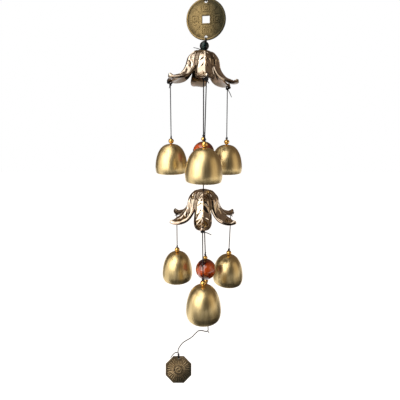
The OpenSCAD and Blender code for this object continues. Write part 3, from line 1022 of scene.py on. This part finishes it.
def add_striker(tier):
    body = tier + "_striker"
    place = striker_place(tier)
    bore = CORD_D / 2 + BEAD_ROOM
    spacer_at = Matrix.Translation((0, 0, AMBER_R + SPACER_R))
    bead(body, body, "amber_glass", place, AMBER_R, bore, segments=96)
    beads = [bead(tier + "_spacer_bead", body, "bead_gold", place @ spacer_at, SPACER_R, bore)]
    end = -AMBER_R - SMALL_KNOT_R
    if tier == "lower":
        under = place @ spacer_at.inverted()
        beads.append(bead("lower_under_bead", body, "bead_gold", under, SPACER_R, bore))
        end -= 2 * SPACER_R
    stop = place @ Vector((0, 0, AMBER_R + 2 * SPACER_R + 1.1))
    knot = Stock().add(*tied(place @ Vector((0, 0, end)), size=1.8, diameter=0.9, turn=0.3))
    knot = knot.soft_piece(body + "_knot", body, "cord", [body + "_knot"])
    stop_knot = Stock().add(*tied(stop, size=1.5, diameter=0.75, turn=1.9))
    stop_knot.add(*tail_end(stop, (0.9, -0.6, 3.6), 0.6))
    stop_knot = stop_knot.soft_piece(body + "_stop_knot", body, "cord")
    if tier == "upper":
        top = Vector((0, 0, TIERS["upper"]["top"] + CANOPY_KNOT_Z - BIG_KNOT_R - AIR))
        foot = LOWER_KNOT
    else:
        top = LOWER_KNOT + (LOWER_AMBER - LOWER_KNOT).normalized() * (BIG_KNOT_R + AIR)
        foot = place @ Vector((0, 0, end))
    cord, way = cord_piece(body + "_cord", body, "cord", [top, foot], CORD_D, straight=True)
    declare(way)


# ---- the coin and the plate: struck from a drawn relief ----

def circle_of(radius):
    """A round outline: the same radius at every angle."""
    return lambda theta: np.full_like(theta, radius)


def relief_disc(inner, outer, rings, height, holes, thickness):
    """A two-sided disc between two outlines of (angle) -> radius, with its relief on both sides."""
    spokes = 240
    theta = np.linspace(0, 2 * math.pi, spokes, endpoint=False)
    share = crowded(rings, 0.8) / 2 + 0.5
    low, high = inner(theta), outer(theta)
    radius = low[None, :] + share[:, None] * (high - low)[None, :]
    flat = np.stack([radius * np.cos(theta), radius * np.sin(theta)], axis=2).reshape(-1, 2)
    faces = open_round_holes(flat, sheet_faces(rings, spokes, columns_close=True), holes)
    proud = height(flat[:, 0], flat[:, 1])
    behind = height(-flat[:, 0], flat[:, 1])
    front = [Vector((x, y, thickness / 2 + h)) for (x, y), h in zip(flat, proud)]
    back = [Vector((x, y, -thickness / 2 - h)) for (x, y), h in zip(flat, behind)]
    points, made = closed_sheet(front, back, faces, set())
    wear = [*rise(-0.05, 0.3, proud), *rise(-0.05, 0.3, behind)]
    angle = np.arctan2(flat[:, 1], flat[:, 0])
    far = np.hypot(flat[:, 0], flat[:, 1])
    around = [(math.cos(t), math.sin(t), d / 12) for t, d in zip(angle, far)] * 2
    return used_only(points, made, wear, around)


def painted_side_shade(obj, centre, towards, reach):
    """Marks how deep the painted shade is: none on one side of a piece, and full on the other, away from the
    key light.
    """
    points = np.array([list(v.co) for v in obj.data.vertices]) / MM
    along = (points - np.array(centre)) @ np.array(Vector(towards).normalized()) / reach
    layer = obj.data.attributes.new("painted_side_shade", "FLOAT", "POINT")
    layer.data.foreach_set("value", rise(-0.35, 0.75, along).astype(np.float32))


def uneven(x, y, size, seed):
    """A casting's unevenness over a face: lumps of about a size."""
    return np.array([noise.noise(Vector((a / size, b / size, seed))) for a, b in zip(x, y)])


def drawn(lines):
    """A mesh of edges along lines, for the raised-line tree."""
    mesh = bpy.data.meshes.new("lines")
    points, edges = [], []
    for line in lines:
        start = len(points)
        points += [Vector(p) * MM for p in line]
        edges += [(start + k, start + k + 1) for k in range(len(line) - 1)]
    mesh.from_pydata(points, edges, [])
    return mesh


# raised lines are rubbed bright along their whole length
RIDGE_WEAR = 0.95


def add_ridges(name, body, slot, place, lines, copies, ridge):
    obj = RAISED_LINES.grow(name, drawn(lines), place, slot, Copies=copies, Ridge=ridge * MM)
    wear = obj.data.attributes.new("worn", "FLOAT", "POINT")
    wear.data.foreach_set("value", np.full(len(obj.data.vertices), RIDGE_WEAR, np.float32))
    return fitted(obj, body, slot)


def rounded(line, cut=0.55, parts=3):
    """A drawn line with its corners rounded."""
    line = [Vector(p) for p in line]
    made = [line[0]]
    for a, b, c in zip(line, line[1:], line[2:]):
        into = b + (a - b).normalized() * cut
        away = b + (c - b).normalized() * cut
        for k in range(parts + 1):
            t = k / parts
            made.append((1 - t) ** 2 * into + 2 * t * (1 - t) * b + t ** 2 * away)
    return made + [line[-1]]


# the coin's round holes are a little larger here than in the part, round its thicker cords
HOLE_ROOM = 0.12
# the rim runs outwards from here, and the square hole's border inwards from here
RIM_FROM = 18.9
BORDER_TO = 5.6
# the fret's corners, about a point that stands FRET_OUT from the coin's middle
FRET = ((-3.7, -3.4), (3.7, -3.4), (3.7, 3.3), (-2.3, 3.3),
        (-2.3, -1.5), (1.7, -1.5), (1.7, 1.3), (-0.6, 1.3))
FRET_OUT = 11.2


def add_coin():
    def square(theta):
        return COIN_HOLE_W / 2 / np.maximum(np.abs(np.cos(theta)), np.abs(np.sin(theta)))

    def swell(far):
        """A cast coin is a little thicker at its middle."""
        return 0.45 * (1 - (far / COIN_R) ** 2)

    def height(x, y):
        far = np.hypot(x, y)
        side = np.maximum(np.abs(x), np.abs(y))
        hole_side = COIN_HOLE_W / 2
        step = (RIM_T - FIELD_T) / 2
        rim = step * rise(RIM_FROM, RIM_FROM + 0.8, far) - 0.28 * rise(COIN_R - 0.5, COIN_R, far) ** 2
        border = step * (1 - rise(BORDER_TO - 0.6, BORDER_TO, side))
        border = border - 0.22 * (1 - rise(hole_side, hole_side + 0.4, side)) ** 2
        worn_away = 0.05 * uneven(x, y, 2.2, 1.7) + 0.07 * uneven(x, y, 6.0, 8.2)
        worn_away = worn_away * rise(0.2, 1.2, COIN_R - far) * rise(hole_side, 4.6, side)
        return swell(far) + rim + border + worn_away

    holes = [((0, at - COIN_Z), COIN_HOLE_R + HOLE_ROOM) for at in (COIN_TOP_HOLE_Z, COIN_LOW_HOLE_Z)]
    place = (Matrix.Translation((COIN_X, 0, COIN_Z)) @ Matrix.Rotation(COIN_TURN, 4, "Z")
             @ Matrix.Rotation(math.pi / 2, 4, "X"))
    points, faces, wear, around = relief_disc(square, circle_of(COIN_R), rings=72, height=height,
                                              holes=holes, thickness=FIELD_T)
    coin = Stock().add(points, faces, place, worn=wear, around=around)
    coin = coin.piece("coin", "coin", "coin_bronze", ["coin"], sharp=60)
    ridge = 0.42
    sunk = 0.06
    lift = FIELD_T / 2 - sunk
    lines = []
    for face in (1, -1):
        fret = [(face * x, y + FRET_OUT, face * lift) for x, y in FRET]
        bar = [(face * -5.2, y, face * lift) for y in (9.3, 13.2)]
        zigzag = [(6.6 + 0.9 * k, 6.6 + 0.9 * k + (0.9 if k % 2 else -0.4), face * lift) for k in range(7)]
        lines += [rounded(fret), bar, rounded(zigzag, cut=0.3)]
    lines = [[Vector((x, y, z + math.copysign(swell(math.hypot(x, y)), z))) for x, y, z in line]
             for line in lines]
    frets = add_ridges("coin_frets", "coin", "coin_bronze", place, lines, 4, ridge)
    # painted shade on the coin and its frets: darker towards the right, away from the key light
    for piece in (coin, frets):
        painted_side_shade(piece, place.translation, (1, 0, 0.15), COIN_R)


EIGHTH = math.pi / 4
# how deep the plate's field lies under its rim, the radius of the circle round its swirl,
# and the radius where its sheet starts, which the swirl covers
POCKET = 0.35
SWIRL_R = 3.5
PLATE_START_R = 0.3
# for each side of the plate, whether each of its three bars is whole
WHOLE_BARS = ((1, 1, 1), (0, 1, 1), (1, 0, 1), (0, 0, 1), (0, 0, 0), (1, 0, 0), (0, 1, 0), (1, 1, 0))


def plate_bars(face, lift):
    """The lines on one face of the plate: its bars, and in the middle a swirl in a circle."""
    bars = []
    for sector, whole in enumerate(WHOLE_BARS):
        turn = Matrix.Rotation(math.pi / 2 + sector * EIGHTH, 4, "Z")
        outer = 10.6 if sector == 0 else 13.6
        for row, across in enumerate((-2.3, 0, 2.3)):
            parts = [(6.2, outer)] if whole[row] else [(6.2, 8.8), (10.0, outer)]
            for a, b in parts:
                bars.append([turn @ Vector((far, across * far / 10, face * lift)) for far in (a, b)])
    half = SWIRL_R / 2
    z = face * (lift + 0.6 * POCKET)
    bend = [(half * math.sin(t), half * (1 - math.cos(t))) for t in np.linspace(0, math.pi, 10)]
    swirl = [(-x, -y) for x, y in reversed(bend)] + bend[1:]
    bars.append([Vector((x, y, z)) for x, y in swirl])
    bars.append([Vector((SWIRL_R * math.cos(t), SWIRL_R * math.sin(t), z))
                 for t in np.linspace(0, 2 * math.pi, 40)])
    for eye in (half, -half):
        bars.append([Vector((-0.15, eye, z)), Vector((0.15, eye, z))])
    return bars


def add_plate():
    below = PLATE_FLAT_R - PLATE_HOLE_IN

    def towards_flat(theta):
        """The cosine of an angle, measured from the middle of the nearest side."""
        return np.cos((theta + EIGHTH / 2) % EIGHTH - EIGHTH / 2)

    def octagon(theta):
        return PLATE_FLAT_R / towards_flat(theta)

    def height(x, y):
        far = np.hypot(x, y)
        flat_far = far * towards_flat(np.arctan2(y, x))
        eye = np.hypot(x, y - below)
        rim = rise(14.3, 14.9, flat_far)
        boss = 1 - rise(4.2, 4.7, far)
        ring = 1 - rise(1.9, 2.3, eye)
        proud = np.maximum(np.maximum(rim, boss * 0.6), ring)
        edge = 0.3 * rise(PLATE_FLAT_R - 0.5, PLATE_FLAT_R, flat_far) ** 2
        worn_away = 0.05 * uneven(x, y, 2.0, 4.4) * rise(0.2, 1, PLATE_FLAT_R - flat_far)
        return POCKET * proud - POCKET - edge + worn_away

    place = (Matrix.Translation(PLATE_HOLE) @ Matrix.Rotation(math.pi / 2 - PLATE_LEAN, 4, "X")
             @ Matrix.Translation((0, -below, 0)))
    holes = [((0, below), PLATE_HOLE_R)]
    points, faces, wear, around = relief_disc(circle_of(PLATE_START_R), octagon, rings=60, height=height,
                                              holes=holes, thickness=PLATE_T)
    plate = Stock().add(points, faces, place, worn=[0.12 + 0.5 * w for w in wear], around=around)
    plate = plate.piece("plate", "plate", "plate_bronze", ["plate"], sharp=60)
    lift = PLATE_T / 2 - POCKET + 0.02
    corner = Matrix.Rotation(EIGHTH / 2, 4, "Z")
    bars = plate_bars(1, lift) + plate_bars(-1, lift)
    spokes = [[corner @ Vector((r, 0, face * lift)) for r in (4.9, 14.6)] for face in (1, -1)]
    pieces = [plate, add_ridges("plate_bars", "plate", "plate_bronze", place, bars, copies=1, ridge=0.45),
              add_ridges("plate_spokes", "plate", "plate_bronze", place, spokes, copies=8, ridge=0.24)]
    # painted shade on the plate and its ridges: darker towards the lower right, away from the key light
    for piece in pieces:
        painted_side_shade(piece, place.translation, (1, 0, -1), PLATE_FLAT_R)


# ---- tail ----

def add_tail():
    end = striker_place("lower") @ Vector((0, 0, -AMBER_R - 2 * SPACER_R - SMALL_KNOT_R))
    route = [(3.6, 0, end.z - SMALL_KNOT_R - AIR), (4.6, 0, -390), (5.4, 0.5, -412), (6, 0.5, -424),
             (6.2, 0.5, -427.5), (5, 0.5, -429.3), (2.3, 0, -429), (0, 0, -428.3), (-2.7, 0, -428),
             (-6, 0, -428.5), (-8, 0, -430.2), (-9.6, 0, -432), (-14, -0.5, -436.5), (-18, -0.5, -439.3),
             (-21.5, -0.5, -441.5), (-25, 0, -444.5), (-27.5, 0, -447.5), (-29.5, 0, -450.5),
             (-31, 0.4, -454), (-31.4, 0.4, -457.5), TAIL_KNOT]
    cord, way = cord_piece("tail_cord", "tail", "thin_cord", route, THIN_D)
    stock = Stock().add(*tied(TAIL_KNOT, size=1.3, diameter=THIN_D, turn=0.4))
    stock.add(*tail_end((-31.2, 0.3, -458.0), (-9.3, -3.2, -4.6), THIN_D))
    stock.add(*tail_end((5.6, 0.4, -428.8), (2.0, -0.3, -3.0), THIN_D, sag=0.0))
    knot = stock.soft_piece("tail_knot", "tail", "thin_cord", ["tail_knot"])
    declare(way)
    tie = Stock()
    for aside in (-0.45, 0.45):
        through = PLATE_HOLE + Vector((aside, 0, 0))
        turn = lap(through, PLATE_OUT, PLATE_UP, seat=0.7, gap=1.7, top=4.6, pinch=0.5)
        tie.add(*laid(curved(turn, STEP), THIN_D))
    tie.soft_piece("plate_tie", "tail", "thin_cord", ["plate_tie"])


# ---- studio ----

def card(name, centre, width, height, towards, shade, seen=False):
    """A flat card that faces a point: the white floor, or a dark flag that only mirrors see."""
    mesh = bpy.data.meshes.new(name)
    w, h = width / 2, height / 2
    facing = (Vector(towards) - Vector(centre)).to_track_quat("Z", "Y").to_matrix().to_4x4()
    place = Matrix.Translation(centre) @ facing
    mesh.from_pydata([place @ Vector(p) for p in ((-w, -h, 0), (w, -h, 0), (w, h, 0), (-w, h, 0))], [],
                     [(0, 1, 2, 3)])
    obj = linked(name, mesh)
    finish = Finish(name, Base_Color=shade, Roughness=0.9)
    if seen:
        finish.set(Emission_Color=(1.0, 1.0, 1.0), Emission_Strength=0.95)
    mesh.materials.append(finish.material)
    obj.visible_camera = seen


def soft_box(name, centre, width, height, towards, radiance, tint):
    data = bpy.data.lights.new(name, "AREA")
    data.shape = "RECTANGLE"
    data.size, data.size_y = width, height
    data.energy = radiance * math.pi * width * height
    data.color = tint
    obj = linked(name, data)
    obj.location = centre
    obj.rotation_euler = (Vector(centre) - Vector(towards)).to_track_quat("Z", "Y").to_euler()
    obj.visible_camera = False


# each light: its centre, width, height, radiance and tint
LIGHTS = {
    "key_box": ((-0.70, -0.85, 0.07), 0.95, 0.86, 3.3, (1.0, 0.98, 0.93)),
    "high_box": ((-0.38, -0.72, 0.65), 1.0, 0.65, 2.3, (1.0, 0.98, 0.94)),
    "top_box": ((-0.30, -0.12, 0.75), 1.0, 0.75, 1.7, (1.0, 0.97, 0.92)),
    "left_box": ((-1.15, -0.20, 0.03), 0.75, 1.04, 1.3, (1.0, 0.95, 0.86)),
    "right_box": ((1.05, -0.40, -0.10), 0.80, 1.2, 0.62, (1.0, 0.84, 0.60)),
}


def studio():
    middle = (0, 0, -0.25)
    card("floor", (0, 0, -1.5), width=14, height=14, towards=(0, 0, 1), shade=(0.93, 0.93, 0.92), seen=True)
    # the low flags stand side by side below the front, which darkens the undersides
    for k, turn in enumerate((-48, -8, 32, 72, 112)):
        away = Vector((math.sin(math.radians(turn)), -math.cos(math.radians(turn)), 0))
        at = 0.72 * away + Vector((0, 0, -1.03))
        card(f"dark_low_flag_{k}", at, 0.62, 1.05, middle, (0.004, 0.005, 0.006))
    card("dark_front_flag", (0.27, -1.1, -0.05), 1.0, 1.1, middle, (0.004, 0.005, 0.008))
    card("dark_left_flag", (-1.05, 0.65, -0.3), 0.5, 1.6, middle, (0.006, 0.006, 0.006))
    for name, (centre, width, height, radiance, tint) in LIGHTS.items():
        soft_box(name, centre, width, height, middle, radiance, tint)
    world = bpy.data.worlds.new("studio")
    bpy.context.scene.world = world
    world.use_nodes = True
    nodes, links = world.node_tree.nodes, world.node_tree.links
    nodes.clear()
    room, sky, mix = (nodes.new(f"ShaderNode{kind}") for kind in ("Background", "Background", "MixShader"))
    room.inputs["Color"].default_value = (0.17, 0.125, 0.09, 1)
    sky.inputs["Color"].default_value = (1, 1, 1, 1)
    seen = nodes.new("ShaderNodeLightPath")
    output = nodes.new("ShaderNodeOutputWorld")
    links.new(seen.outputs["Is Camera Ray"], mix.inputs[0])
    links.new(room.outputs[0], mix.inputs[1])
    links.new(sky.outputs[0], mix.inputs[2])
    links.new(mix.outputs[0], output.inputs[0])
    bpy.context.scene.view_settings.view_transform = "Standard"


# ---- the chime, from its loop down ----

hanging_cords()
link_cords()
canopy_knot("lower", "upper_striker")
for tier in TIERS:
    add_striker(tier)
    for side in TIERS[tier]["bells"]:
        add_bell(tier, side)
add_tail()
add_coin()
black = Matrix.Translation(BLACK_BEAD) @ Matrix.Rotation(BLACK_BEAD_TILT, 4, "Y")
bead("black_bead", "link", "black_glass", black, BLACK_BEAD_R, BLACK_BEAD_BORE_R, segments=80)
petal = one_petal()
for tier in TIERS:
    add_canopy(tier, tier + "_canopy", petal)
    add_petal_knots(tier, tier + "_canopy")
    for side in TIERS[tier]["bells"]:
        add_clapper(tier, side)
add_plate()
studio()
